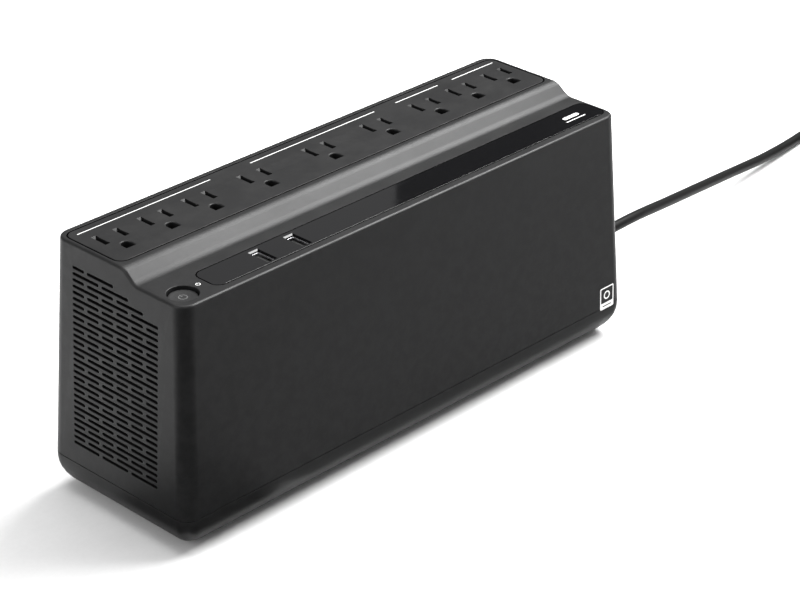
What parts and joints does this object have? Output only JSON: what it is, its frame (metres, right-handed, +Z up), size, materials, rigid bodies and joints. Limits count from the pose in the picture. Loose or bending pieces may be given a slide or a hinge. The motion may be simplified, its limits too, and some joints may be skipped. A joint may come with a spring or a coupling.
{
  "type": "uninterruptible power supply",
  "caption": "Long, low black battery backup unit: a drafted two-level casing with top outlets, USB sockets, a round power button, end vents, a bottom battery bay and a mains cord.",
  "frame": {"origin": "middle of the casing's footprint on the standing surface, cord left out", "axes": "+X along the body towards the end that the cord leaves, -Y the plain long front, +Z up"},
  "size_m": [0.7803, 0.1024, 0.1402],
  "materials": {
    "housing_plastic": "fine satin texture, black",
    "inlay_gloss": "high gloss, black",
    "button_plastic": "satin black",
    "insulator_plastic": "matt black",
    "contact_brass": "bare brass",
    "plated_steel": "bright zinc plating",
    "plug_metal": "nickel-plated brass",
    "circuit_board": "green solder mask",
    "spring_steel": "drawn wire",
    "switch_plastic": "matt black",
    "lamination_steel": "varnished laminations",
    "winding_copper": "enamelled wire under tape",
    "heat_sink_aluminium": "extruded, plain",
    "transistor_black": "matt black",
    "capacitor_film": "yellow case",
    "capacitor_sleeve": "dark blue sleeve",
    "choke_green": "coated ferrite",
    "fuse_glass": "clear",
    "varistor_blue": "blue epoxy",
    "battery_plastic": "satin dark grey",
    "battery_lead": "dull lead plates",
    "lead_red": "red insulation",
    "lead_grey": "grey insulation",
    "cord_jacket": "satin black jacket",
    "moulded_black": "satin black",
    "tie_strap": "black hook and loop",
    "foot_rubber": "matt black"
  },
  "bodies": {
    "chassis": {"housing_shell": "housing_plastic", "base_tray": "housing_plastic", "rubber_feet": "foot_rubber", "housing_screws": "plated_steel", "outlet_panel": "housing_plastic", "inlay_strip": "inlay_gloss", "receptacle_body_1": "insulator_plastic", "receptacle_body_2": "insulator_plastic", "receptacle_body_3": "insulator_plastic", "receptacle_body_4": "insulator_plastic", "receptacle_body_5": "insulator_plastic", "receptacle_body_6": "insulator_plastic", "receptacle_body_7": "insulator_plastic", "receptacle_body_8": "insulator_plastic", "receptacle_body_9": "insulator_plastic", "line_strip_battery": "contact_brass", "line_strip_surge": "contact_brass", "neutral_strip": "contact_brass", "ground_strip": "contact_brass", "usb_shell_1": "plated_steel", "usb_shell_2": "plated_steel", "usb_tongues": "insulator_plastic", "usb_charger_board": "circuit_board", "power_button_spring": "spring_steel", "power_switch": "switch_plastic", "button_board": "circuit_board", "main_circuit_board": "circuit_board", "board_standoffs": "insulator_plastic", "inner_screws": "plated_steel", "transformer_core": "lamination_steel", "transformer_winding": "winding_copper", "transformer_bracket": "plated_steel", "heat_sinks": "heat_sink_aluminium", "power_transistors": "transistor_black", "relays": "insulator_plastic", "filter_capacitor": "capacitor_film", "bulk_capacitors": "capacitor_sleeve", "noise_choke": "choke_green", "main_fuse": "fuse_glass", "surge_varistors": "varistor_blue", "alarm_buzzer": "switch_plastic", "data_port": "insulator_plastic", "data_port_contacts": "contact_brass", "breaker_body": "insulator_plastic", "breaker_nut": "plated_steel", "battery_leads": "lead_red", "mains_leads": "lead_grey", "strain_relief": "moulded_black", "power_cord": "cord_jacket", "cord_coil": "cord_jacket", "cord_tail": "cord_jacket", "cord_ties": "tie_strap", "plug_body": "moulded_black", "plug_pins": "plug_metal"},
    "battery": {"battery_case": "battery_plastic", "battery_cells": "battery_lead", "battery_terminals": "contact_brass"},
    "battery_cover": {"battery_cover": "housing_plastic"},
    "power_button": {"power_button": "button_plastic"},
    "breaker_reset": {"breaker_button": "button_plastic"}
  },
  "joints": [
    {"name": "battery_slide", "type": "slide", "parent": "chassis", "child": "battery", "axis": [0, 0, -1], "range_m": [0, 0.115]},
    {"name": "battery_cover_slide", "type": "slide", "parent": "chassis", "child": "battery_cover", "axis": [0, 0, -1], "range_m": [0, 0.23]},
    {"name": "power_button_press", "type": "slide", "parent": "chassis", "child": "power_button", "axis": [0, 0, -1], "range_m": [0, 0.0012], "stiffness_N_per_m": 900, "springref_m": -0.001, "deforming": ["power_button_spring"]},
    {"name": "breaker_reset_slide", "type": "slide", "parent": "chassis", "child": "breaker_reset", "axis": [1, 0, 0], "range_m": [0, 0.003]}
  ],
  "couplings": [
    {"joint": "battery_cover_slide", "follows": "battery_slide", "ratio": 2}
  ]
}
